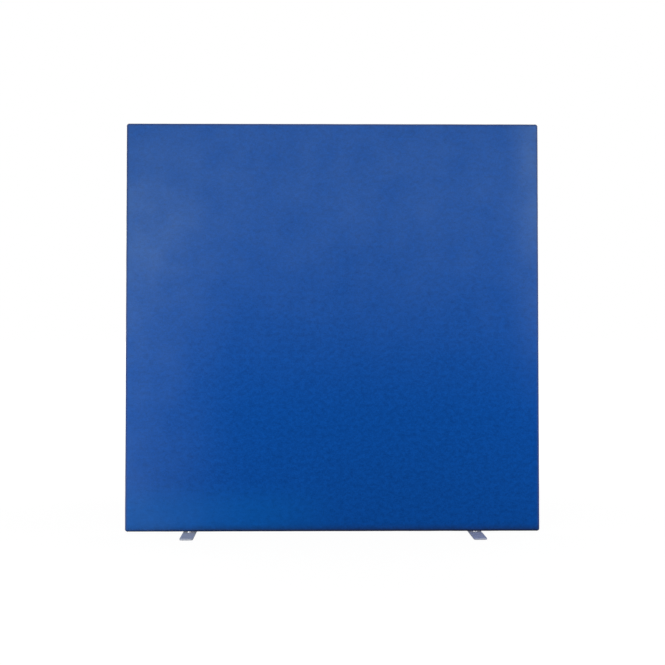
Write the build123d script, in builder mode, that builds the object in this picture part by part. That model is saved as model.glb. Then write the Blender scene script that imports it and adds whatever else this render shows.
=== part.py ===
import os

from build123d import *

os.makedirs("parts", exist_ok=True)

# The panel stands on two feet. X is the width, Y the depth with the front at -Y, Z is up.
screen_width = 1600.0
screen_height = 1587.0
outline_corner_radius = 12.0
edge_roll_radius = 10.0

# Layers of the panel, from the outside inwards.
cover_thickness = 1.0
wadding_thickness = 2.0
frame_depth = 24.0

# Timber of the frame.
stile_width = 45.0
rail_height = 45.0
stud_width = 60.0
groove_depth = 8.0
groove_half_width = 2.25

# The cover's hem is tucked in the groove and held by the trim.
hem_slot_half_width = 1.25
hem_clearance = 0.5
trim_head_half_width = 4.0
trim_head_round = 0.7
trim_leg_half_width = 0.8
trim_barb_half_width = 1.2
trim_barb_length = 1.6
trim_barb_depths = (3.4, 5.8, 8.2)

# Screws of the frame's joints.
screw_length = 80.0
screw_head_radius = 4.9
screw_head_height = 2.6
screw_radius = 2.5
screw_point_length = 6.0
screw_seat_depth = 13.0
screw_recess_width = 1.2
screw_recess_length = 5.6
screw_recess_depth = 1.8
rail_screw_spacing = 14.0
stud_screw_spacing = 30.0

# Dowels at the ends of the mid rails.
dowel_radius = 5.0
dowel_length = 50.0
dowel_end_round = 1.0
dowel_spacing = 24.0
dowel_end_space = 1.0

# Feet and their fixings.
foot_length = 400.0
foot_width = 50.0
foot_thickness = 6.0
foot_corner_radius = 12.0
foot_edge_break = 0.8
foot_inset = 248.0
spacer_thickness = 3.0
spacer_radius = 10.0
spacer_boss_radius = 7.0
insert_radius = 6.0
insert_length = 20.0
insert_flange_radius = 8.0
insert_flange_thickness = 1.5
insert_barb_step = 3.5
insert_barb_height = 0.6
insert_end_space = 3.0
bolt_radius = 4.0
bolt_length = 29.5
bolt_head_radius = 8.0
bolt_sink = 0.5
bolt_point_round = 1.0
bolt_socket_flats = 5.0
bolt_socket_depth = 2.6

# Clearances.
timber_fit = 0.05
thread_fit = 0.05
swivel_fit = 0.08
seat_fit = 0.15
counterbore_fit = 0.6
fixing_clearance = 0.5
overrun = 5.0

# Heights and half sizes that follow from the above.
half_width = screen_width / 2
padding = cover_thickness + wadding_thickness
half_depth = frame_depth / 2 + padding
half_frame_depth = frame_depth / 2
roll_line = half_depth - edge_roll_radius
turn_in_line = roll_line - cover_thickness
panel_bottom = foot_thickness + spacer_thickness
panel_height = screen_height - panel_bottom
panel_middle = panel_bottom + panel_height / 2
frame_bottom = panel_bottom + padding
frame_top = screen_height - padding
frame_side = half_width - padding
bay_side = frame_side - stile_width
bay_bottom = frame_bottom + rail_height
bay_top = frame_top - rail_height
bay_middle = (bay_bottom + bay_top) / 2
half_rail = rail_height / 2
half_stud = stud_width / 2
groove_inset = padding + groove_depth
hem_inset = groove_inset - hem_clearance
foot_centre = half_width - foot_inset
fixing_hole_radius = insert_flange_radius + fixing_clearance
trim_end = fixing_hole_radius + fixing_clearance
front, back = 1, -1


def face_plane(side):
    # The upright plane through the middle of the panel, looking out of the front or the back.
    return Plane(origin=(0, 0, panel_middle), x_dir=(side, 0, 0), z_dir=(0, -side, 0))


def outline(inset):
    # The panel's outline seen from the front, drawn in by an inset.
    RectangleRounded(screen_width - 2 * inset, panel_height - 2 * inset, outline_corner_radius - inset)


def slab(side, inset, start, end, roll_radius=0.0):
    # A plate inside the outline, with its outer edge rolled over if a radius is given.
    with BuildPart() as plate:
        with BuildSketch(face_plane(side).offset(start)):
            outline(inset)
        extrude(amount=end - start)
        if roll_radius:
            outer_face = plate.faces().filter_by(Axis.Y).sort_by(Axis.Y)[0 if side == front else -1]
            fillet(outer_face.edges(), radius=roll_radius)
    return plate.part


def ring(side, inset, width, start, end):
    # A band that follows the outline, between two distances from the middle plane.
    with BuildPart() as band:
        with BuildSketch(face_plane(side).offset(start)):
            outline(inset)
            with BuildSketch(mode=Mode.PRIVATE) as opening:
                outline(inset + width)
            add(opening.sketch, mode=Mode.SUBTRACT)
        extrude(amount=end - start)
    return band.part


def turned(points):
    # A round piece about the upright axis, from (radius, height) points.
    with BuildPart() as piece:
        with BuildSketch(Plane.XZ):
            with BuildLine():
                Polyline(*points, close=True)
            make_face()
        revolve(axis=Axis.Z)
    return piece.part


def placed(part, places):
    # One copy of a small part at each place.
    with BuildPart() as copies:
        with Locations(*places):
            add(part)
    return copies.part


def bar(left, right, bottom, top):
    # A straight timber or slab of the frame's depth between four sides.
    with BuildPart() as piece:
        with Locations(((left + right) / 2, 0, (bottom + top) / 2)):
            Box(right - left, frame_depth, top - bottom)
    return piece.part


# Frame screws, all alike, drawn with the head on top and the point down.
with BuildPart() as frame_screw:
    add(
        turned(
            [
                (0, 0),
                (screw_head_radius, 0),
                (screw_radius, -screw_head_height),
                (screw_radius, screw_point_length - screw_length),
                (0, -screw_length),
            ]
        )
    )
    with BuildSketch():
        Rectangle(screw_recess_length, screw_recess_width)
        Rectangle(screw_recess_width, screw_recess_length)
    extrude(amount=-screw_recess_depth, mode=Mode.SUBTRACT)

screw_bore = turned(
    [
        (0, screw_seat_depth + overrun),
        (screw_head_radius + counterbore_fit, screw_seat_depth + overrun),
        (screw_head_radius + counterbore_fit, 0),
        (screw_head_radius + timber_fit, 0),
        (screw_radius + timber_fit, -screw_head_height),
        (screw_radius + timber_fit, -screw_length),
        (0, -screw_length),
    ]
)

screw_places = []
for way in (front, back):
    for joint in (frame_bottom + half_rail, frame_top - half_rail):
        for shift in (-rail_screw_spacing / 2, rail_screw_spacing / 2):
            start = (way * (frame_side - screw_seat_depth), 0, joint + shift)
            screw_places.append(Plane(origin=start, x_dir=(0, 1, 0), z_dir=(way, 0, 0)))
    for shift in (-stud_screw_spacing / 2, stud_screw_spacing / 2):
        level = frame_top if way == front else frame_bottom
        start = (shift, 0, level - way * screw_seat_depth)
        screw_places.append(Plane(origin=start, x_dir=(0, 1, 0), z_dir=(0, 0, way)))

with BuildPart() as frame_screws:
    add(placed(frame_screw.part, screw_places))

screw_bores = placed(screw_bore, screw_places)

# Dowels, all alike, half in the mid rail and half in the stile or stud.
half_dowel = dowel_length / 2
dowel = turned(
    [
        (0, half_dowel),
        (dowel_radius - dowel_end_round, half_dowel),
        (dowel_radius, half_dowel - dowel_end_round),
        (dowel_radius, dowel_end_round - half_dowel),
        (dowel_radius - dowel_end_round, -half_dowel),
        (0, -half_dowel),
    ]
)
half_dowel_bore = half_dowel + dowel_end_space
dowel_bore = turned(
    [
        (0, half_dowel_bore),
        (dowel_radius + timber_fit, half_dowel_bore),
        (dowel_radius + timber_fit, -half_dowel_bore),
        (0, -half_dowel_bore),
    ]
)

dowel_places = []
for joint in (-bay_side, -half_stud, half_stud, bay_side):
    for shift in (-dowel_spacing / 2, dowel_spacing / 2):
        dowel_places.append(Plane(origin=(joint, 0, bay_middle + shift), x_dir=(0, 1, 0), z_dir=(1, 0, 0)))

with BuildPart() as mid_rail_dowels:
    add(placed(dowel, dowel_places))

dowel_bores = placed(dowel_bore, dowel_places)

# The frame's outer body with its rolled edge and the groove, cut into stiles and rails.
core_roll_radius = edge_roll_radius - padding
with BuildPart() as frame_body:
    add(slab(front, padding, 0, half_frame_depth, core_roll_radius))
    add(slab(back, padding, 0, half_frame_depth, core_roll_radius))
    add(ring(front, padding, groove_depth, -groove_half_width, groove_half_width), mode=Mode.SUBTRACT)


def frame_piece(left, right, bottom, top):
    # One outer timber of the frame, with its holes.
    with BuildPart() as piece:
        add(frame_body.part)
        add(bar(left, right, bottom, top), mode=Mode.INTERSECT)
        add(screw_bores, mode=Mode.SUBTRACT)
        add(dowel_bores, mode=Mode.SUBTRACT)
    return piece.part


def inner_piece(left, right, bottom, top):
    # One inner timber of the frame, with its holes.
    with BuildPart() as piece:
        add(bar(left, right, bottom, top))
        add(screw_bores, mode=Mode.SUBTRACT)
        add(dowel_bores, mode=Mode.SUBTRACT)
    return piece.part


with BuildPart() as left_stile:
    add(frame_piece(-frame_side, -bay_side, frame_bottom, frame_top))

with BuildPart() as right_stile:
    add(frame_piece(bay_side, frame_side, frame_bottom, frame_top))

with BuildPart() as top_rail:
    add(frame_piece(-bay_side, bay_side, bay_top, frame_top))

with BuildPart() as centre_stud:
    add(inner_piece(-half_stud, half_stud, bay_bottom, bay_top))

with BuildPart() as left_mid_rail:
    add(inner_piece(-bay_side, -half_stud, bay_middle - half_rail, bay_middle + half_rail))

with BuildPart() as right_mid_rail:
    add(inner_piece(half_stud, bay_side, bay_middle - half_rail, bay_middle + half_rail))

with BuildPart() as upper_left_infill:
    add(bar(-bay_side, -half_stud, bay_middle + half_rail, bay_top))

with BuildPart() as upper_right_infill:
    add(bar(half_stud, bay_side, bay_middle + half_rail, bay_top))

with BuildPart() as lower_left_infill:
    add(bar(-bay_side, -half_stud, bay_bottom, bay_middle - half_rail))

with BuildPart() as lower_right_infill:
    add(bar(half_stud, bay_side, bay_bottom, bay_middle - half_rail))

# Threaded inserts in the bottom rail, with barbs round the body.
insert_points = [(bolt_radius + thread_fit, 0), (insert_flange_radius, 0)]
insert_points.append((insert_flange_radius, insert_flange_thickness))
insert_points.append((insert_radius - insert_barb_height, insert_flange_thickness))
barb_base = insert_flange_thickness + insert_barb_step / 2
while barb_base + insert_barb_step < insert_length:
    insert_points.append((insert_radius - insert_barb_height, barb_base))
    insert_points.append((insert_radius, barb_base))
    insert_points.append((insert_radius - insert_barb_height, barb_base + insert_barb_step / 2))
    barb_base += insert_barb_step
insert_points.append((insert_radius - insert_barb_height, insert_length))
insert_points.append((bolt_radius + thread_fit, insert_length))
insert = turned(insert_points)

insert_bore = turned(
    [
        (0, -overrun),
        (insert_flange_radius + timber_fit, -overrun),
        (insert_flange_radius + timber_fit, insert_flange_thickness),
        (insert_radius + timber_fit, insert_flange_thickness),
        (insert_radius + timber_fit, insert_length + insert_end_space),
        (0, insert_length + insert_end_space),
    ]
)

insert_places = {"left": (-foot_centre, 0, frame_bottom), "right": (foot_centre, 0, frame_bottom)}

with BuildPart() as left_foot_insert:
    add(placed(insert, [insert_places["left"]]))

with BuildPart() as right_foot_insert:
    add(placed(insert, [insert_places["right"]]))

with BuildPart() as bottom_rail:
    add(frame_piece(-bay_side, bay_side, frame_bottom, bay_bottom))
    add(placed(insert_bore, insert_places.values()), mode=Mode.SUBTRACT)

# Clear round holes through the covers, the wadding and the hems at the fixings.
fixing_hole = turned(
    [
        (0, -overrun),
        (fixing_hole_radius, -overrun),
        (fixing_hole_radius, groove_inset),
        (0, groove_inset),
    ]
)
fixing_holes = placed(fixing_hole, [(-foot_centre, 0, panel_bottom), (foot_centre, 0, panel_bottom)])


def padding_body(side):
    # What lies inside the fabric on one face, as far as the line where the fabric turns in.
    return slab(side, cover_thickness, turn_in_line, half_depth - cover_thickness,
                edge_roll_radius - cover_thickness)


def wadding(side):
    # The soft layer on one face, rolled over the edge as far as the flat band.
    with BuildPart() as piece:
        add(padding_body(side))
        add(slab(side, 0, turn_in_line, roll_line), mode=Mode.SUBTRACT)
        add(slab(side, padding, 0, half_frame_depth, core_roll_radius), mode=Mode.SUBTRACT)
        add(fixing_holes, mode=Mode.SUBTRACT)
    return piece.part


def cover(side):
    # The fabric on one face, rolled over the edge, turned in under the trim and down the groove.
    with BuildPart() as piece:
        add(slab(side, 0, turn_in_line, half_depth, edge_roll_radius))
        add(padding_body(side), mode=Mode.SUBTRACT)
        add(ring(side, cover_thickness, wadding_thickness, turn_in_line, roll_line))
        add(ring(side, wadding_thickness, cover_thickness, hem_slot_half_width, turn_in_line))
        add(ring(side, padding, hem_inset - padding, hem_slot_half_width, groove_half_width))
        add(fixing_holes, mode=Mode.SUBTRACT)
    return piece.part


with BuildPart() as front_wadding:
    add(wadding(front))

with BuildPart() as back_wadding:
    add(wadding(back))

with BuildPart() as front_cover:
    add(cover(front))

with BuildPart() as back_cover:
    add(cover(back))

# The trim's cross-section: a flat head level with the fabric and a barbed leg in the groove.
trim_head_thickness = padding - cover_thickness
half_profile = [
    (trim_head_half_width - trim_head_round, 0),
    (trim_head_half_width, trim_head_round),
    (trim_head_half_width, trim_head_thickness),
    (trim_leg_half_width, trim_head_thickness),
]
for barb_depth in trim_barb_depths:
    half_profile.append((trim_leg_half_width, barb_depth))
    half_profile.append((trim_barb_half_width, barb_depth))
    half_profile.append((trim_leg_half_width, barb_depth + trim_barb_length))
half_profile.append((trim_leg_half_width, hem_inset))
trim_profile = half_profile + [(-x, depth) for x, depth in reversed(half_profile)]


def trim(path_points):
    # A strip of trim along the outline, starting on the bottom edge.
    with BuildPart() as strip:
        with BuildLine(Plane.XZ) as path:
            if len(path_points) > 2:
                FilletPolyline(*path_points, radius=outline_corner_radius)
            else:
                Line(*path_points)
        start_x, start_z = path_points[0]
        with BuildSketch(Plane.YZ.offset(start_x)):
            with Locations((0, start_z)):
                with BuildLine():
                    Polyline(*[(x, start_z + depth) for x, depth in trim_profile], close=True)
                make_face()
        sweep(path=path.wires()[0])
    return strip.part


with BuildPart() as edge_trim:
    add(
        trim(
            [
                (-foot_centre - trim_end, panel_bottom),
                (-half_width, panel_bottom),
                (-half_width, screen_height),
                (half_width, screen_height),
                (half_width, panel_bottom),
                (foot_centre + trim_end, panel_bottom),
            ]
        )
    )

with BuildPart() as bottom_trim:
    add(trim([(-foot_centre + trim_end, panel_bottom), (foot_centre - trim_end, panel_bottom)]))

# Spacers: a disc between foot and panel, with a boss that bears on the insert through the fabric.
spacer_bore_radius = bolt_radius + swivel_fit
spacer = turned(
    [
        (spacer_bore_radius, foot_thickness),
        (spacer_radius, foot_thickness),
        (spacer_radius, panel_bottom),
        (spacer_boss_radius, panel_bottom),
        (spacer_boss_radius, frame_bottom),
        (spacer_bore_radius, frame_bottom),
    ]
)

# Countersunk bolts with a hexagon socket, sunk just inside the sole.
bolt_head_height = bolt_head_radius - bolt_radius
with BuildPart() as foot_bolt:
    add(
        turned(
            [
                (0, bolt_sink),
                (bolt_head_radius, bolt_sink),
                (bolt_radius, bolt_sink + bolt_head_height),
                (bolt_radius, bolt_sink + bolt_length - bolt_point_round),
                (bolt_radius - bolt_point_round, bolt_sink + bolt_length),
                (0, bolt_sink + bolt_length),
            ]
        )
    )
    with BuildSketch(Plane.XY.offset(bolt_sink)):
        RegularPolygon(bolt_socket_flats / 2, 6, major_radius=False)
    extrude(amount=bolt_socket_depth, mode=Mode.SUBTRACT)

# Feet: flat bars with a countersunk hole at the middle, where they turn.
foot_bore_radius = bolt_radius + swivel_fit
foot_mouth_radius = bolt_head_radius + bolt_sink + seat_fit
foot_bore = turned(
    [
        (0, -overrun),
        (foot_mouth_radius, -overrun),
        (foot_mouth_radius, 0),
        (foot_bore_radius, foot_mouth_radius - foot_bore_radius),
        (foot_bore_radius, foot_thickness + overrun),
        (0, foot_thickness + overrun),
    ]
)
with BuildPart() as foot:
    with BuildSketch():
        RectangleRounded(foot_width, foot_length, foot_corner_radius)
    extrude(amount=foot_thickness)
    chamfer(foot.faces().filter_by(Axis.Z).edges(), length=foot_edge_break)
    add(foot_bore, mode=Mode.SUBTRACT)

with BuildPart() as left_foot_spacer:
    add(placed(spacer, [(-foot_centre, 0, 0)]))

with BuildPart() as right_foot_spacer:
    add(placed(spacer, [(foot_centre, 0, 0)]))

with BuildPart() as left_foot_bolt:
    add(placed(foot_bolt.part, [(-foot_centre, 0, 0)]))

with BuildPart() as right_foot_bolt:
    add(placed(foot_bolt.part, [(foot_centre, 0, 0)]))

with BuildPart() as left_foot:
    add(placed(foot.part, [(-foot_centre, 0, 0)]))

with BuildPart() as right_foot:
    add(placed(foot.part, [(foot_centre, 0, 0)]))

left_stile.part.label = "left_stile"
right_stile.part.label = "right_stile"
top_rail.part.label = "top_rail"
bottom_rail.part.label = "bottom_rail"
centre_stud.part.label = "centre_stud"
left_mid_rail.part.label = "left_mid_rail"
right_mid_rail.part.label = "right_mid_rail"
upper_left_infill.part.label = "upper_left_infill"
upper_right_infill.part.label = "upper_right_infill"
lower_left_infill.part.label = "lower_left_infill"
lower_right_infill.part.label = "lower_right_infill"
front_wadding.part.label = "front_wadding"
back_wadding.part.label = "back_wadding"
front_cover.part.label = "front_cover"
back_cover.part.label = "back_cover"
edge_trim.part.label = "edge_trim"
bottom_trim.part.label = "bottom_trim"
frame_screws.part.label = "frame_screws"
mid_rail_dowels.part.label = "mid_rail_dowels"
left_foot_insert.part.label = "left_foot_insert"
right_foot_insert.part.label = "right_foot_insert"
left_foot_spacer.part.label = "left_foot_spacer"
right_foot_spacer.part.label = "right_foot_spacer"
left_foot_bolt.part.label = "left_foot_bolt"
right_foot_bolt.part.label = "right_foot_bolt"
left_foot.part.label = "left_foot"
right_foot.part.label = "right_foot"

export_step(left_stile.part, "parts/left_stile.step")
export_step(right_stile.part, "parts/right_stile.step")
export_step(top_rail.part, "parts/top_rail.step")
export_step(bottom_rail.part, "parts/bottom_rail.step")
export_step(centre_stud.part, "parts/centre_stud.step")
export_step(left_mid_rail.part, "parts/left_mid_rail.step")
export_step(right_mid_rail.part, "parts/right_mid_rail.step")
export_step(upper_left_infill.part, "parts/upper_left_infill.step")
export_step(upper_right_infill.part, "parts/upper_right_infill.step")
export_step(lower_left_infill.part, "parts/lower_left_infill.step")
export_step(lower_right_infill.part, "parts/lower_right_infill.step")
export_step(front_wadding.part, "parts/front_wadding.step")
export_step(back_wadding.part, "parts/back_wadding.step")
export_step(front_cover.part, "parts/front_cover.step")
export_step(back_cover.part, "parts/back_cover.step")
export_step(edge_trim.part, "parts/edge_trim.step")
export_step(bottom_trim.part, "parts/bottom_trim.step")
export_step(frame_screws.part, "parts/frame_screws.step")
export_step(mid_rail_dowels.part, "parts/mid_rail_dowels.step")
export_step(left_foot_insert.part, "parts/left_foot_insert.step")
export_step(right_foot_insert.part, "parts/right_foot_insert.step")
export_step(left_foot_spacer.part, "parts/left_foot_spacer.step")
export_step(right_foot_spacer.part, "parts/right_foot_spacer.step")
export_step(left_foot_bolt.part, "parts/left_foot_bolt.step")
export_step(right_foot_bolt.part, "parts/right_foot_bolt.step")
export_step(left_foot.part, "parts/left_foot.step")
export_step(right_foot.part, "parts/right_foot.step")
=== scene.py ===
import math

import bpy
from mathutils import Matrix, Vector, noise


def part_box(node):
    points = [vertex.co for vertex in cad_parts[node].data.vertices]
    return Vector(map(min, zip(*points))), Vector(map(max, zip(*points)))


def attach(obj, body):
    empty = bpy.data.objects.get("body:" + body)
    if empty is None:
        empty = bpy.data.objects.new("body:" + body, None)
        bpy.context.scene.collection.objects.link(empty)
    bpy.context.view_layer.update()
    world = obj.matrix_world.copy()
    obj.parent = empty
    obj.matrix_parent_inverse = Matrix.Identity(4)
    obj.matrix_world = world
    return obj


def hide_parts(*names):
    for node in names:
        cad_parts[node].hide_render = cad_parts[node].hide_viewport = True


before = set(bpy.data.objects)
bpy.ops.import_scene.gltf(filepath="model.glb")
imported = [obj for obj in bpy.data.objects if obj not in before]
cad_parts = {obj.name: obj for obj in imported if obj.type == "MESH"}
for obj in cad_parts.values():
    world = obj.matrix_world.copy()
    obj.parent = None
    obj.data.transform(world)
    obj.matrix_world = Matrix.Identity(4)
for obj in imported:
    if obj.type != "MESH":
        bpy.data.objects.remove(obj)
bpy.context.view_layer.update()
print("frame loaded:", len(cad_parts), "nodes")


def addObject(name, data):
    added = bpy.data.objects.new(name, data)
    bpy.context.collection.objects.link(added)
    return added


def addMesh(name, points, faces):
    mesh = bpy.data.meshes.new(name)
    mesh.from_pydata(points, [], faces)
    return addObject(name, mesh)


camera = {  # in front of the panel, a little left of its middle
    "place": (-0.1165, -6.434, 0.82),  # metres
    "tiltUp": 2.128,  # degrees
    "turn": 1.034,  # degrees to the right
    "lens": 89.657,  # millimetres
    "sensor": 36.0,  # millimetres
    "shift": -0.1098,  # of the picture's width
    "farthest": 200.0,  # metres
}


def placeCamera():
    data = bpy.data.cameras.new("viewCamera")
    data.lens = camera["lens"]
    data.sensor_width = camera["sensor"]
    data.shift_y = camera["shift"]
    data.clip_end = camera["farthest"]
    viewCamera = addObject("viewCamera", data)
    viewCamera.location = camera["place"]
    viewCamera.rotation_euler = (math.radians(90 + camera["tiltUp"]), 0, math.radians(-camera["turn"]))
    bpy.context.scene.camera = viewCamera


placeCamera()
print("camera placed")


class Wire:  # a socket that can be written into sums
    def __init__(self, finish, socket):
        self.finish = finish
        self.socket = socket

    def sum(self, operation, other=None, swapped=False):
        pair = (other, self) if swapped else (self, other)
        sockets = {place: value for place, value in enumerate(pair) if value is not None}
        return self.finish.node("ShaderNodeMath", {"operation": operation}, sockets)

    def __add__(self, other):
        return self.sum("ADD", other)

    def __radd__(self, other):
        return self.sum("ADD", other, swapped=True)

    def __sub__(self, other):
        return self.sum("SUBTRACT", other)

    def __rsub__(self, other):
        return self.sum("SUBTRACT", other, swapped=True)

    def __mul__(self, other):
        return self.sum("MULTIPLY", other)

    def __rmul__(self, other):
        return self.sum("MULTIPLY", other, swapped=True)

    def __truediv__(self, other):
        return self.sum("DIVIDE", other)

    def __rtruediv__(self, other):
        return self.sum("DIVIDE", other, swapped=True)

    def __pow__(self, other):
        return self.sum("POWER", other)

    def __rpow__(self, other):
        return self.sum("POWER", other, swapped=True)


noiseMiddle = 0.5  # a grain runs from 0 to 1 about this


class Finish:  # the nodes of one material or world, and the shader that they feed
    def __init__(self, owner, shader, fixed):
        owner.use_nodes = True
        self.owner = owner
        self.tree = owner.node_tree
        self.shader = self.tree.nodes[shader]
        for socket, value in fixed.items():
            self.shader.inputs[socket].default_value = value

    def node(self, kind, settings=None, sockets=None, output=0):
        made = self.tree.nodes.new(kind)
        for name, value in (settings or {}).items():
            if name == "stops":
                for stop, (place, tint) in zip(made.color_ramp.elements, value):
                    stop.position = place
                    stop.color = colour(tint)
            else:
                setattr(made, name, value)
        for name, value in (sockets or {}).items():
            if isinstance(value, Wire):
                self.tree.links.new(value.socket, made.inputs[name])
            else:
                made.inputs[name].default_value = value
        return Wire(self, made.outputs[output])

    def feed(self, socket, wire):
        self.tree.links.new(wire.socket, self.shader.inputs[socket])

    def show(self, wire):
        self.tree.links.new(wire.socket, self.tree.nodes["Material Output"].inputs["Surface"])

    def place(self):
        return self.node("ShaderNodeTexCoord", output="Object")

    def split(self, vector):
        return [self.node("ShaderNodeSeparateXYZ", {}, {"Vector": vector}, axis) for axis in range(3)]

    def join(self, x, y, z):
        return self.node("ShaderNodeCombineXYZ", {}, {"X": x, "Y": y, "Z": z})

    def vectorSum(self, operation, sockets):
        return self.node("ShaderNodeVectorMath", {"operation": operation}, sockets)

    def grain(self, vector, scale, detail=2.0, roughness=0.5, output="Fac"):
        values = {"Vector": vector, "Scale": scale, "Detail": detail, "Roughness": roughness}
        return self.node("ShaderNodeTexNoise", {}, values, output)

    def slide(self, wire, low, high, start=0.0, end=1.0):
        values = {"Value": wire, "From Min": low, "From Max": high, "To Min": start, "To Max": end}
        return self.node("ShaderNodeMapRange", {"interpolation_type": "SMOOTHSTEP"}, values)

    def mix(self, factor, first, second, blend="MIX"):
        settings = {"data_type": "RGBA", "blend_type": blend}
        return self.node("ShaderNodeMix", settings, {0: factor, 6: first, 7: second}, 2)

    def shade(self, tint, depth):
        return self.mix(1.0, tint, self.join(depth, depth, depth), "MULTIPLY")

    def ramp(self, wire, stops):
        return self.node("ShaderNodeValToRGB", {"stops": stops}, {"Fac": wire})

    def wander(self, vector, strength, scale):
        drift = self.grain(vector, scale, output="Color")
        centred = self.vectorSum("SUBTRACT", {0: drift, 1: (noiseMiddle, noiseMiddle, noiseMiddle)})
        scaled = self.vectorSum("SCALE", {0: centred, "Scale": strength})
        return self.vectorSum("ADD", {0: vector, 1: scaled})

    def bump(self, height, distance):
        values = {"Height": height, "Distance": distance}
        self.feed("Normal", self.node("ShaderNodeBump", {}, values, "Normal"))


def newFinish(name, fixed):
    return Finish(bpy.data.materials.new(name), "Principled BSDF", fixed)


def colour(tint):
    return (*tint, 1.0)


# In every finish a grain is its scale, detail and roughness, and a tint's stops run from dark to light.
coverCloth = {
    "shader": {"Roughness": 0.62, "Specular IOR Level": 0.02, "Sheen Weight": 0.10, "Sheen Roughness": 0.30},
    "threadPitch": 0.0013,
    "threadWander": 0.0005,
    "wanderScale": 40.0,
    "threadHeight": 0.55,
    "threadRise": 0.45,  # where one thread crosses over another
    "toneAlong": 90.0,
    "toneApart": 0.37,  # so that neighbouring threads differ
    "weftTonePlane": 5.0,  # so that warp and weft differ
    "toneGrain": (1.0, 3.0, 0.7),
    "toneRelief": 0.15,
    "yarnBlue": [(0.24, (0.0018, 0.046, 0.242)), (0.76, (0.0034, 0.088, 0.418))],
    "gapShade": 0.55,
    "patchGrain": (7.0, 4.0, 0.6),
    "patchDepth": 0.05,
    "slubGrain": (62.0, 4.0, 0.66),
    "slubStretch": 0.75,
    "slubDepth": 0.76,
    "bumpHeight": 0.00010,
    "paintedSheenBlue": (0.42, 0.57, 0.54),  # painted sheen towards the top and both sides
    "paintedSheenAll": 0.044,
    "paintedSheenFrom": 0.40,
    "paintedSheenTo": 1.40,
    "paintedSheenTopFrom": 1.15,
    "paintedSheenTopShare": 0.85,
    "paintedSheenLeft": 0.052,
    "paintedSheenLeftReach": 0.62,
    "paintedSheenLeftBelow": 0.66,
    "paintedSheenRight": 0.050,
    "paintedSheenRightReach": 0.20,
    "paintedSheenRightFrom": 0.30,
    "paintedSheenRightTo": 1.60,
    "paintedPoolBlue": (0.003, 0.185, 0.56),  # painted pool of light low at the left
    "paintedPoolDepth": 0.105,
    "paintedPoolFrom": 0.08,
    "paintedPoolTo": 0.22,
    "paintedPoolLeftFrom": -0.30,
    "paintedPoolLeftTo": 0.10,
    "paintedEdgeShadeBlue": (0.048, 0.052, 0.10),  # painted shade all round the rolled edges
    "paintedEdgeShadeReach": 0.013,
    "paintedEdgeShadeDepth": 0.55,
    "paintedBottomShadeColour": (0.012, 0.015, 0.017),  # painted shade along the bottom, thinner at the left
    "paintedBottomShadeReach": 0.034,
    "paintedBottomShadeDepth": 0.47,
    "paintedBottomShadeEven": 0.75,
    "paintedBottomShadePatchy": 0.5,
    "paintedBottomShadeAtLeft": 0.30,
    "paintedBottomShadeLeftReach": 0.34,
}


def weaveThreads(cloth, look, across, along):
    # A plain weave: how high its threads stand, and how light the yarn on top is.
    half = 0.5  # a thread
    warpAt = across / look["threadPitch"]
    weftAt = along / look["threadPitch"]
    warpThread = warpAt.sum("FLOOR")
    weftThread = weftAt.sum("FLOOR")
    warpOver = ((weftAt - half + warpThread) * math.pi).sum("COSINE")
    weftOver = ((warpAt - half + weftThread) * math.pi).sum("COSINE")
    warpRound = (warpAt.sum("FRACT") * math.pi).sum("SINE")
    weftRound = (weftAt.sum("FRACT") * math.pi).sum("SINE")
    warpHeight = warpRound * (look["threadHeight"] + look["threadRise"] * warpOver)
    weftHeight = weftRound * (look["threadHeight"] - look["threadRise"] * weftOver)
    warpSpot = cloth.join(warpThread * look["toneApart"], along * look["toneAlong"], 0.0)
    weftSpot = cloth.join(across * look["toneAlong"], weftThread * look["toneApart"], look["weftTonePlane"])
    warpTone = cloth.grain(warpSpot, *look["toneGrain"])
    weftTone = cloth.grain(weftSpot, *look["toneGrain"])
    onTop = warpHeight.sum("GREATER_THAN", weftHeight)
    return warpHeight.sum("MAXIMUM", weftHeight), warpTone * onTop + weftTone * (1 - onTop)


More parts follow.
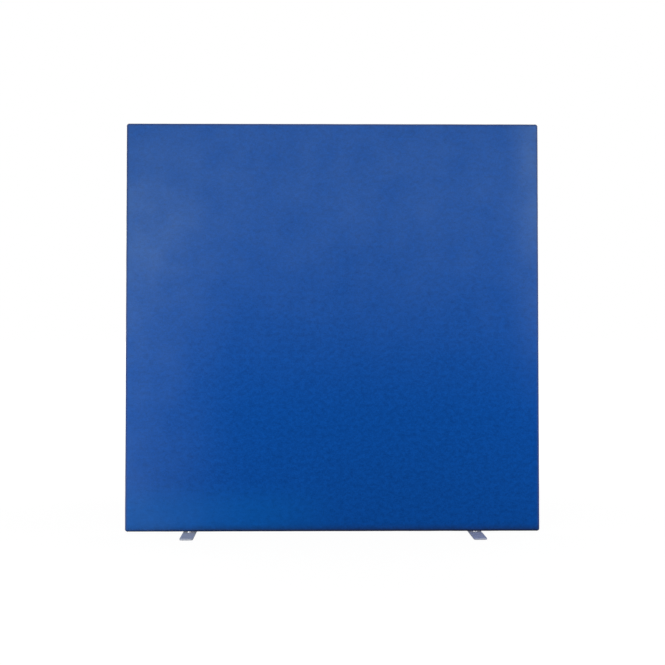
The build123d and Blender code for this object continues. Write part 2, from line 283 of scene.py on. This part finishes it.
def paintLightOnCloth(cloth, look, tint, patch, slub):
    # Painted sheen towards the top and sides, a painted pool of light low at the left, painted shade round
    # the rolled edges and painted shade along the bottom.
    low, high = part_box("front_cover")
    sideways, _, upwards = cloth.split(cloth.place())
    # Painted sheen: the cloth lightened towards the top and both sides.
    nearLeft = cloth.slide(sideways, low[0], low[0] + look["paintedSheenLeftReach"], 1.0, 0.0) ** 2
    nearRight = cloth.slide(sideways, high[0] - look["paintedSheenRightReach"], high[0]) ** 2
    raised = cloth.slide(upwards, look["paintedSheenFrom"], look["paintedSheenTo"])
    belowTop = 1 - look["paintedSheenTopShare"] * cloth.slide(upwards, look["paintedSheenTopFrom"], high[2])
    leftHeight = (look["paintedSheenLeftBelow"] + (1 - look["paintedSheenLeftBelow"]) * raised) * belowTop
    rightHeight = cloth.slide(upwards, look["paintedSheenRightFrom"], look["paintedSheenRightTo"])
    paintedSheen = look["paintedSheenAll"] * raised
    paintedSheen = paintedSheen + look["paintedSheenLeft"] * nearLeft * leftHeight
    paintedSheen = paintedSheen + look["paintedSheenRight"] * nearRight * rightHeight
    withPaintedLight = cloth.mix(paintedSheen * (noiseMiddle + patch), tint, colour(look["paintedSheenBlue"]))
    # Painted pool of light: the cloth lighter low at the left.
    paintedPool = cloth.slide(upwards, look["paintedPoolFrom"], look["paintedPoolTo"], look["paintedPoolDepth"], 0.0)
    paintedPool = paintedPool * cloth.slide(sideways, look["paintedPoolLeftFrom"], look["paintedPoolLeftTo"], 1.0, 0.0)
    withPaintedLight = cloth.mix(paintedPool, withPaintedLight, colour(look["paintedPoolBlue"]))
    # Painted shade where the cloth rolls round its edges.
    fromSide = (sideways - low[0]).sum("MINIMUM", high[0] - sideways)
    fromEnd = (upwards - low[2]).sum("MINIMUM", high[2] - upwards)
    paintedEdgeShade = cloth.slide(fromSide.sum("MINIMUM", fromEnd), 0.0, look["paintedEdgeShadeReach"], look["paintedEdgeShadeDepth"], 0.0)
    edgeMarked = cloth.mix(paintedEdgeShade * (noiseMiddle + slub), withPaintedLight, colour(look["paintedEdgeShadeBlue"]))
    # Painted shade along the bottom, thinner at the left.
    paintedBottomShade = cloth.slide(upwards, low[2], low[2] + look["paintedBottomShadeReach"], look["paintedBottomShadeDepth"], 0.0)
    paintedBottomShade = paintedBottomShade * cloth.slide(sideways, low[0], low[0] + look["paintedBottomShadeLeftReach"], look["paintedBottomShadeAtLeft"])
    paintedBottomShade = paintedBottomShade * (look["paintedBottomShadeEven"] + look["paintedBottomShadePatchy"] * patch)
    return cloth.mix(paintedBottomShade, edgeMarked, colour(look["paintedBottomShadeColour"]))


def wovenCloth():
    look = coverCloth
    cloth = newFinish("coverCloth", look["shader"])
    flat = cloth.node("ShaderNodeUVMap", {"uv_map": "cloth"}, output="UV")
    across, along, _ = cloth.split(cloth.wander(flat, look["threadWander"], look["wanderScale"]))
    height, tone = weaveThreads(cloth, look, across, along)
    depth = look["gapShade"] + (1 - look["gapShade"]) * height
    yarn = cloth.shade(cloth.ramp(tone, look["yarnBlue"]), depth)
    patch = cloth.grain(cloth.place(), *look["patchGrain"])
    slub = cloth.grain(cloth.join(across * look["slubStretch"], along, 0.0), *look["slubGrain"])
    lightness = 1 + look["patchDepth"] * (2 * patch - 1) + look["slubDepth"] * (slub - noiseMiddle)
    cloth.feed("Base Color", paintLightOnCloth(cloth, look, cloth.shade(yarn, lightness), patch, slub))
    cloth.bump(height + look["toneRelief"] * tone, look["bumpHeight"])
    return cloth.owner


footPaint = {
    "shader": {"Metallic": 0.10, "Specular IOR Level": 0.30},
    "silver": [(0.35, (0.29, 0.32, 0.39)), (0.65, (0.38, 0.41, 0.48))],
    "fleckGrain": (2600.0, 1.0, 0.5),
    "fleckShare": 0.6,
    "fleckRelief": 0.3,
    "scuffGrain": (55.0, 4.0, 0.6),
    "peelGrain": (900.0, 2.0, 0.5),
    "rightFootPaintedShade": (0.10, 0.13, 0.40),  # painted shade and a painted reflection of the blue panel on the right foot
    "rightFootPaintedShadeShare": 0.24,
    "bareEdge": (0.44, 0.46, 0.50),
    "edgeWear": 0.0012,
    "wornFrom": 0.45,
    "wornTo": 0.62,
    "wornShare": 0.5,
    "roughness": 0.42,
    "scuffRoughness": 0.14,
    "wornSmoothness": 0.10,
    "bumpHeight": 0.00005,
}


def powderCoat():
    look = footPaint
    paint = newFinish("footPaint", look["shader"])
    spot = paint.place()
    scuff = paint.grain(spot, *look["scuffGrain"])
    fleck = paint.grain(spot, *look["fleckGrain"])
    silver = paint.ramp(look["fleckShare"] * fleck + (1 - look["fleckShare"]) * scuff, look["silver"])
    sideways, forwards, _ = paint.split(spot)
    # The right foot is painted darker and bluer: painted shade and a painted reflection of the blue panel.
    rightOnly = sideways.sum("GREATER_THAN", 0.0)
    base = paint.mix(look["rightFootPaintedShadeShare"] * rightOnly, silver, colour(look["rightFootPaintedShade"]))
    low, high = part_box("left_foot")
    halfWidth = (high[0] - low[0]) / 2
    middle = (low[0] + high[0]) / 2  # below 0, as the foot is left of the panel's middle
    fromMiddle = (sideways.sum("ABSOLUTE") + middle).sum("ABSOLUTE")
    onLongEdge = paint.slide(fromMiddle, halfWidth - look["edgeWear"], halfWidth)
    onEnd = paint.slide(forwards.sum("ABSOLUTE"), high[1] - look["edgeWear"], high[1])
    edgeMarked = onLongEdge.sum("MAXIMUM", onEnd) * paint.slide(scuff, look["wornFrom"], look["wornTo"])
    paint.feed("Base Color", paint.mix(edgeMarked * look["wornShare"], base, colour(look["bareEdge"])))
    roughness = look["roughness"] + look["scuffRoughness"] * scuff
    paint.feed("Roughness", roughness - look["wornSmoothness"] * edgeMarked)
    paint.bump(paint.grain(spot, *look["peelGrain"]) + look["fleckRelief"] * fleck, look["bumpHeight"])
    return paint.owner


platedSteel = {
    "shader": {"Metallic": 1.0},
    "zinc": [(0.35, (0.60, 0.61, 0.63)), (0.65, (0.78, 0.79, 0.81))],
    "turnedAround": 0.2,
    "turnedUp": 30.0,
    "streakGrain": (260.0, 3.0, 0.6),
    "streakShare": 0.5,
    "cloudGrain": (208.0, 3.0, 0.6),
    "roughness": 0.28,
    "cloudRoughness": 0.25,
    "bumpHeight": 0.00003,
}


def turnedSteel():
    look = platedSteel
    steel = newFinish("platedSteel", look["shader"])
    spot = steel.place()
    sideways, forwards, upwards = steel.split(spot)
    around = look["turnedAround"]
    turned = steel.join(sideways * around, forwards * around, upwards * look["turnedUp"])
    streaks = steel.grain(turned, *look["streakGrain"])
    cloud = steel.grain(spot, *look["cloudGrain"])
    shine = look["streakShare"] * streaks + (1 - look["streakShare"]) * cloud
    steel.feed("Base Color", steel.ramp(shine, look["zinc"]))
    steel.feed("Roughness", look["roughness"] + look["cloudRoughness"] * cloud)
    steel.bump(streaks, look["bumpHeight"])
    return steel.owner


insertBrass = {
    "shader": {"Metallic": 1.0},
    "brass": [(0.35, (0.45, 0.32, 0.14)), (0.65, (0.68, 0.50, 0.22))],
    "cutGrain": (500.0, 3.0, 0.6),
    "roughness": 0.25,
    "cutRoughness": 0.2,
    "bumpHeight": 0.00002,
}


def turnedBrass():
    look = insertBrass
    brass = newFinish("insertBrass", look["shader"])
    cuts = brass.grain(brass.place(), *look["cutGrain"])
    brass.feed("Base Color", brass.ramp(cuts, look["brass"]))
    brass.feed("Roughness", look["roughness"] + look["cutRoughness"] * cuts)
    brass.bump(cuts, look["bumpHeight"])
    return brass.owner


trimPlastic = {
    "shader": {"Specular IOR Level": 0.4},
    "navy": [(0.40, (0.012, 0.040, 0.125)), (0.75, (0.030, 0.070, 0.170))],
    "pebbleScale": 1500.0,
    "rubGrain": (20.0, 4.0, 0.6),
    "roughness": 0.45,
    "rubRoughness": 0.2,
    "bumpHeight": 0.00004,
}


def grainedPlastic():
    look = trimPlastic
    plastic = newFinish("trimPlastic", look["shader"])
    spot = plastic.place()
    pebbled = {"Vector": spot, "Scale": look["pebbleScale"]}
    pebbles = plastic.node("ShaderNodeTexVoronoi", {}, pebbled, "Distance")
    rub = plastic.grain(spot, *look["rubGrain"])
    plastic.feed("Base Color", plastic.ramp(rub, look["navy"]))
    plastic.feed("Roughness", look["roughness"] + look["rubRoughness"] * rub)
    plastic.bump(pebbles, look["bumpHeight"])
    return plastic.owner


softwood = {
    "grown": [(0.2, (0.36, 0.20, 0.09)), (0.75, (0.62, 0.43, 0.24))],
    "ringScale": 90.0,
    "fibreGrain": (1080.0, 4.0, 0.7),
    "stretch": 0.06,
}
beech = {
    "grown": [(0.2, (0.42, 0.23, 0.12)), (0.75, (0.55, 0.33, 0.18))],
    "ringScale": 220.0,
    "fibreGrain": (2640.0, 4.0, 0.7),
    "stretch": 0.10,
}
planing = {  # shared by both timbers
    "shader": {"Specular IOR Level": 0.3},
    "wander": 0.006,
    "wanderScale": 6.0,
    "rings": {"Distortion": 6.0, "Detail": 3.0, "Detail Scale": 1.5},
    "ringShare": 0.7,
    "roughness": 0.62,
    "fibreRoughness": 0.2,
    "bumpHeight": 0.0001,
}


def planedTimber(name, look, lengthwise):
    timber = newFinish(name, planing["shader"])
    parts = timber.split(timber.wander(timber.place(), planing["wander"], planing["wanderScale"]))
    parts[lengthwise] = parts[lengthwise] * look["stretch"]
    stretched = timber.join(*parts)
    ringed = {"wave_type": "RINGS", "rings_direction": "XYZ"[lengthwise]}
    spaced = {"Vector": stretched, "Scale": look["ringScale"], **planing["rings"]}
    rings = timber.node("ShaderNodeTexWave", ringed, spaced, "Fac")
    fibres = timber.grain(stretched, *look["fibreGrain"])
    grown = planing["ringShare"] * rings + (1 - planing["ringShare"]) * fibres
    timber.feed("Base Color", timber.ramp(grown, look["grown"]))
    timber.feed("Roughness", planing["roughness"] + planing["fibreRoughness"] * fibres)
    timber.bump(fibres, planing["bumpHeight"])
    return timber.owner


softboard = {
    "shader": {"Specular IOR Level": 0.15},
    "fibre": [(0.3, (0.24, 0.15, 0.08)), (0.7, (0.46, 0.33, 0.19))],
    "wander": 0.01,
    "wanderScale": 60.0,
    "fibreGrain": (420.0, 5.0, 0.75),
    "roughness": 0.85,
    "fibreRoughness": 0.1,
    "bumpHeight": 0.0004,
}
paddingFelt = {
    "shader": {"Specular IOR Level": 0.1},
    "fibre": [(0.3, (0.62, 0.62, 0.60)), (0.7, (0.80, 0.80, 0.77))],
    "wander": 0.008,
    "wanderScale": 80.0,
    "fibreGrain": (300.0, 5.0, 0.75),
    "roughness": 0.9,
    "fibreRoughness": 0.08,
    "bumpHeight": 0.0005,
}


def tangledFibre(name, look):
    # Pressed board and felt are both a tangle of short fibres.
    matted = newFinish(name, look["shader"])
    curled = matted.wander(matted.place(), look["wander"], look["wanderScale"])
    tangle = matted.grain(curled, *look["fibreGrain"])
    matted.feed("Base Color", matted.ramp(tangle, look["fibre"]))
    matted.feed("Roughness", look["roughness"] + look["fibreRoughness"] * tangle)
    matted.bump(tangle, look["bumpHeight"])
    return matted.owner


finishes = {
    "platedSteel": turnedSteel(),
    "insertBrass": turnedBrass(),
    "trimPlastic": grainedPlastic(),
    "footPaint": powderCoat(),
    "stileTimber": planedTimber("stileTimber", softwood, 2),
    "railTimber": planedTimber("railTimber", softwood, 0),
    "dowelBeech": planedTimber("dowelBeech", beech, 0),
    "softboard": tangledFibre("softboard", softboard),
    "paddingFelt": tangledFibre("paddingFelt", paddingFelt),
    "coverCloth": wovenCloth(),
}
nodeFinishes = {
    "platedSteel": [
        "frame_screws", "left_foot_spacer", "right_foot_spacer", "left_foot_bolt", "right_foot_bolt",
    ],
    "insertBrass": ["left_foot_insert", "right_foot_insert"],
    "trimPlastic": ["edge_trim", "bottom_trim"],
    "footPaint": ["left_foot", "right_foot"],
    "stileTimber": ["left_stile", "right_stile", "centre_stud"],
    "railTimber": ["top_rail", "bottom_rail", "left_mid_rail", "right_mid_rail"],
    "dowelBeech": ["mid_rail_dowels"],
    "softboard": ["upper_left_infill", "upper_right_infill", "lower_left_infill", "lower_right_infill"],
}
for finish, nodes in nodeFinishes.items():
    for node in nodes:
        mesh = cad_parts[node].data
        mesh.materials.clear()
        mesh.materials.append(finishes[finish])
print("finishes made")

wrap = {  # metres, shared by the cover and the padding under it
    "cornerRadius": 0.012,
    "rollRadius": 0.010,
    "rollSteps": 10,
    "cornerSteps": 24,
    "faceStep": 0.016,
    "nearEdge": (0.003, 0.007, 0.011),
    "sharpAngle": 40.0,  # degrees
    "fixingHole": 0.0085,
    "punchSides": 48,
    "punchDepth": 0.02,
}
padding = {
    "inset": 0.001,
    "thickness": 0.002,
    "insideLift": 0.0,
    "edgePlay": 0.0,
    "hem": [],
    "hemInside": [],
}
cover = {
    "inset": 0.0,
    "thickness": 0.0009,
    "insideLift": 1.0,
    "edgePlay": 1.0,
    "hem": [  # inset from the panel's edge and distance from its middle plane
        (0.00005, 0.0048), (0.00030, 0.0043), (0.0007, 0.0040), (0.0016, 0.0040), (0.0019, 0.0039),
        (0.0020, 0.0036), (0.0020, 0.0020), (0.0022, 0.0015), (0.0028, 0.00125), (0.0090, 0.00125),
    ],
    "hemInside": [(0.0009, 0.0049), (0.0029, 0.0049), (0.0029, 0.00215), (0.0090, 0.00215)],
    "crown": 0.0020,
    "crownReach": 0.045,
    "shoulder": 0.0018,
    "shoulderReach": 0.012,
    "ripple": 0.00022,
    "rippleScale": 3.0,
    "ripplePlane": 1.7,
    "edgePull": 0.00030,
    "edgePullScale": 16.0,
    "edgePullReach": 0.002,
    "pleatProud": 0.0011,
    "pleatDepth": 0.0007,
    "pleats": 3,
}
halfDepth = -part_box("front_cover")[0][1]


def gradedStops(start, end):
    # Even steps over the face, with closer ones where the cloth falls away to the edge.
    steps = round((end - start) / wrap["faceStep"])
    stops = [start + (end - start) * i / steps for i in range(steps + 1)]
    for gap in wrap["nearEdge"]:
        stops += [start + gap, end - gap]
    return sorted(stops)


def wrapContour(low, high):
    # Each point: its grid cell on the flat rectangle, which way is outward, and how far round a corner.
    columns = gradedStops(low[0] + wrap["cornerRadius"], high[0] - wrap["cornerRadius"])
    rows = gradedStops(low[2] + wrap["cornerRadius"], high[2] - wrap["cornerRadius"])
    across, upwards = len(columns) - 1, len(rows) - 1
    contour = []
    sides = [
        ([(i, 0) for i in range(across + 1)], -90.0),
        ([(across, j) for j in range(upwards + 1)], 0.0),
        ([(across - i, upwards) for i in range(across + 1)], 90.0),
        ([(0, upwards - j) for j in range(upwards + 1)], 180.0),
    ]
    for cells, heading in sides:
        contour += [(cell, heading, 0.0) for cell in cells]
        for step in range(1, wrap["cornerSteps"]):
            share = step / wrap["cornerSteps"]
            contour.append((cells[-1], heading + 90.0 * share, share))
    return columns, rows, contour


def skinSection(inset, hem):
    # From the face's edge over the roll to the hem: how far out, how far from the middle plane, the inset.
    roll = wrap["rollRadius"] - inset
    points = []
    for step in range(wrap["rollSteps"] + 1):
        turn = math.pi / 2 * step / wrap["rollSteps"]
        outward = wrap["cornerRadius"] - wrap["rollRadius"] + roll * math.sin(turn)
        points.append((outward, halfDepth - wrap["rollRadius"] + roll * math.cos(turn), inset))
    return points + [(wrap["cornerRadius"] - hemInset, fromMiddle, inset) for hemInset, fromMiddle in hem]


def clothSwell(x, z, low, high):
    # How far the stretched cloth stands proud of the flat face.
    fromEdge = max(0.0, min(x - low[0], high[0] - x, z - low[2], high[2] - z))
    crown = cover["crown"] * (1 - math.exp(-fromEdge / cover["crownReach"]))
    shoulder = cover["shoulder"] * (1 - math.exp(-fromEdge / cover["shoulderReach"]))
    wave = noise.noise(Vector((x, z, cover["ripplePlane"])) * cover["rippleScale"])
    return crown + shoulder + cover["ripple"] * (1 + wave)


def edgeSwell(x, z, side, corner, outward, inset):
    # The wavy pull of the hem along the edges, and the pleats gathered at each corner.
    freedom = (outward + inset - wrap["cornerRadius"]) / cover["edgePullReach"] + 1
    if freedom <= 0:
        return 0.0
    pull = cover["edgePull"] * noise.noise(Vector((x, z, side)) * cover["edgePullScale"])
    ridges = math.cos(2 * math.pi * cover["pleats"] * corner)
    fold = math.sin(math.pi * corner) * (cover["pleatProud"] - cover["pleatDepth"] * ridges)
    return min(1.0, freedom) * (pull + fold)


def wrappedLayer(name, side, look):
    # A closed layer of cloth or padding drawn over one side of the panel, with its cut size.
    low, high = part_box("front_cover")
    columns, rows, contour = wrapContour(low, high)
    section = skinSection(look["inset"], look["hem"])
    inside = skinSection(look["inset"] + look["thickness"], look["hemInside"])
    vertices, flat, faces = [], [], []

    def faceSkin(fromMiddle, lifted):
        first = len(vertices)
        for x in columns:
            for z in rows:
                vertices.append((x, side * (fromMiddle + lifted * clothSwell(x, z, low, high)), z))
                flat.append((x, z))
        cells = []
        for i in range(len(columns) - 1):
            for j in range(len(rows) - 1):
                a = first + i * len(rows) + j
                cells.append((a, a + len(rows), a + len(rows) + 1, a + 1))
        return [first + i * len(rows) + j for (i, j), _, _ in contour], cells

    def strip(start, finish):
        for k in range(len(contour)):
            n = (k + 1) % len(contour)
            loop = [start[k], finish[k], finish[n], start[n]]
            faces.append(tuple(dict.fromkeys(loop)))

    outerRim, outerCells = faceSkin(section[0][1], 1.0)
    innerRim, innerCells = faceSkin(inside[0][1], look["insideLift"])
    faces += outerCells + [tuple(reversed(cell)) for cell in innerCells]
    laid = 0.0
    last = (0.0, section[0][1])
    ring = outerRim
    for outward, fromMiddle, inset in section + inside[::-1]:
        lifted = 1.0 if inset == look["inset"] else look["insideLift"]
        laid += math.hypot(outward - last[0], fromMiddle - last[1])
        last = (outward, fromMiddle)
        onFace = max(0.0, 1 - ((outward + inset) / wrap["cornerRadius"]) ** 2)
        nextRing = []
        for (i, j), heading, corner in contour:
            ux, uz = math.cos(math.radians(heading)), math.sin(math.radians(heading))
            x, z = columns[i] + ux * outward, rows[j] + uz * outward
            lift = lifted * onFace * clothSwell(x, z, low, high)
            extra = look["edgePlay"] * edgeSwell(columns[i], rows[j], side, corner, outward, inset)
            nextRing.append(len(vertices))
            vertices.append((x + ux * extra, side * (fromMiddle + lift), z + uz * extra))
            flat.append((columns[i] + ux * laid, rows[j] + uz * laid))
        strip(ring, nextRing)
        ring = nextRing
        if (outward, fromMiddle, inset) == section[-1]:
            cutBeyond = laid - wrap["cornerRadius"]
    strip(ring, innerRim)
    if side > 0:
        faces = [tuple(reversed(face)) for face in faces]
    layer = addMesh(name, vertices, faces)
    cloth = layer.data.uv_layers.new(name="cloth")
    for loop in layer.data.loops:
        cloth.data[loop.index].uv = flat[loop.vertex_index]
    return layer, (high[0] - low[0] + 2 * cutBeyond, high[2] - low[2] + 2 * cutBeyond)


def holePunch(x, z):
    # A round cutter for the opening at a foot fixing.
    sides, radius, half = wrap["punchSides"], wrap["fixingHole"], wrap["punchDepth"]
    points = []
    for level in (z - half, z + half):
        for k in range(sides):
            turn = 2 * math.pi * k / sides
            points.append((x + radius * math.cos(turn), radius * math.sin(turn), level))
    faces = [tuple(range(sides - 1, -1, -1)), tuple(range(sides, 2 * sides))]
    for k in range(sides):
        n = (k + 1) % sides
        faces.append((k, n, sides + n, sides + k))
    return addMesh("holePunch", points, faces)


def pierceLayer(layer, material):
    # Cuts the two openings for the feet, then shades the layer.
    punches = []
    for spacer in ("left_foot_spacer", "right_foot_spacer"):
        low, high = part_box(spacer)
        punch = holePunch((low[0] + high[0]) / 2, high[2])
        cut = layer.modifiers.new("hole", "BOOLEAN")
        cut.operation = "DIFFERENCE"
        cut.solver = "EXACT"
        cut.object = punch
        punches.append(punch)
    graph = bpy.context.evaluated_depsgraph_get()
    shaped = bpy.data.meshes.new_from_object(layer.evaluated_get(graph), depsgraph=graph)
    layer.modifiers.clear()
    layer.data = shaped
    for punch in punches:
        bpy.data.objects.remove(punch, do_unlink=True)
    shaped.materials.clear()
    shaped.materials.append(material)
    shaped.polygons.foreach_set("use_smooth", [True] * len(shaped.polygons))
    shaped.set_sharp_from_angle(angle=math.radians(wrap["sharpAngle"]))


for name, side in (("front", -1.0), ("back", 1.0)):
    felt, feltCut = wrappedLayer(name + "Padding", side, padding)
    pierceLayer(felt, finishes["paddingFelt"])
    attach(felt, "panel")
    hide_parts(name + "_wadding")
    cloth, clothCut = wrappedLayer(name + "Cover", side, cover)
    pierceLayer(cloth, finishes["coverCloth"])
    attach(cloth, "panel")
    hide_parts(name + "_cover")
    print(name, "cover cut", clothCut, "padding cut", feltCut)

studio = {
    "backdropColour": (1.0, 1.0, 1.0),
    "backdropWhite": 1.0,
    "roomLight": 0.26,
    "lamps": [  # name, place, what it faces, width, height, watts
        ("sideLamp", (-1.80, -1.4, 0.45), (-0.2, 0.0, 0.45), 1.2, 0.8, 28.0),
        ("frontLamp", (-0.15, -2.4, 2.30), (0.0, 0.0, 0.9), 1.2, 1.2, 42.0),
        ("rightLamp", (2.15, -1.1, 0.85), (0.3, 0.0, 0.8), 1.2, 1.4, 31.0),
        ("backLeftLamp", (-2.6, 3.4, 1.5), (0.0, 0.0, 0.8), 1.6, 1.6, 90.0),
        ("backRightLamp", (2.6, 3.4, 1.5), (0.0, 0.0, 0.8), 1.6, 1.6, 90.0),
        ("topLamp", (0.0, 0.40, 3.6), (0.0, 0.20, 0.0), 2.2, 0.7, 16.0),
    ],
    "floorReach": 60.0,
    "floorDrop": 0.0005,
    "floorColour": (0.20, 0.20, 0.20),
    "floorGlow": 1.16,
    "glowNear": 0.83,
    "glowNearReach": 1.2,
    "glowFarReach": 6.0,
}


def lightStudio():
    world = bpy.data.worlds.new("studioWorld")
    sky = Finish(world, "Background", {"Color": colour(studio["backdropColour"])})
    seen = sky.node("ShaderNodeLightPath", output="Is Camera Ray")
    sky.feed("Strength", studio["roomLight"] + (studio["backdropWhite"] - studio["roomLight"]) * seen)
    bpy.context.scene.world = world
    for name, place, faces, width, height, watts in studio["lamps"]:
        data = bpy.data.lights.new(name, "AREA")
        data.shape = "RECTANGLE"
        data.size = width
        data.size_y = height
        data.energy = watts
        lamp = addObject(name, data)
        lamp.location = place
        aim = Vector(faces) - Vector(place)
        lamp.rotation_euler = aim.to_track_quat("-Z", "Y").to_euler()
        lamp.visible_camera = False
    bpy.context.scene.view_settings.view_transform = "Standard"


def layFloor():
    # The floor takes light and shadow like any other, and glows as white as the backdrop to the camera.
    reach = studio["floorReach"]
    corners = [(-reach, -reach, 0.0), (reach, -reach, 0.0), (reach, reach, 0.0), (-reach, reach, 0.0)]
    floor = addMesh("studioFloor", corners, [(0, 1, 2, 3)])
    floor.location.z = -studio["floorDrop"]
    matt = {"Base Color": colour(studio["floorColour"]), "Roughness": 1.0, "Specular IOR Level": 0.0}
    plain = newFinish("studioFloor", matt)
    sideways, forwards, _ = plain.split(plain.place())
    away = (sideways * sideways + forwards * forwards) ** 0.5
    glow = plain.slide(away, studio["glowNearReach"], studio["glowFarReach"], studio["glowNear"], 1.0)
    seen = plain.node("ShaderNodeLightPath", output="Is Camera Ray")
    unlit = Wire(plain, plain.shader.outputs[0])
    lit = plain.node("ShaderNodeEmission", {}, {"Strength": studio["floorGlow"]})
    plain.show(plain.node("ShaderNodeMixShader", {}, {0: glow * seen, 1: unlit, 2: lit}))
    floor.data.materials.append(plain.owner)


lightStudio()
layFloor()
print("studio lit")
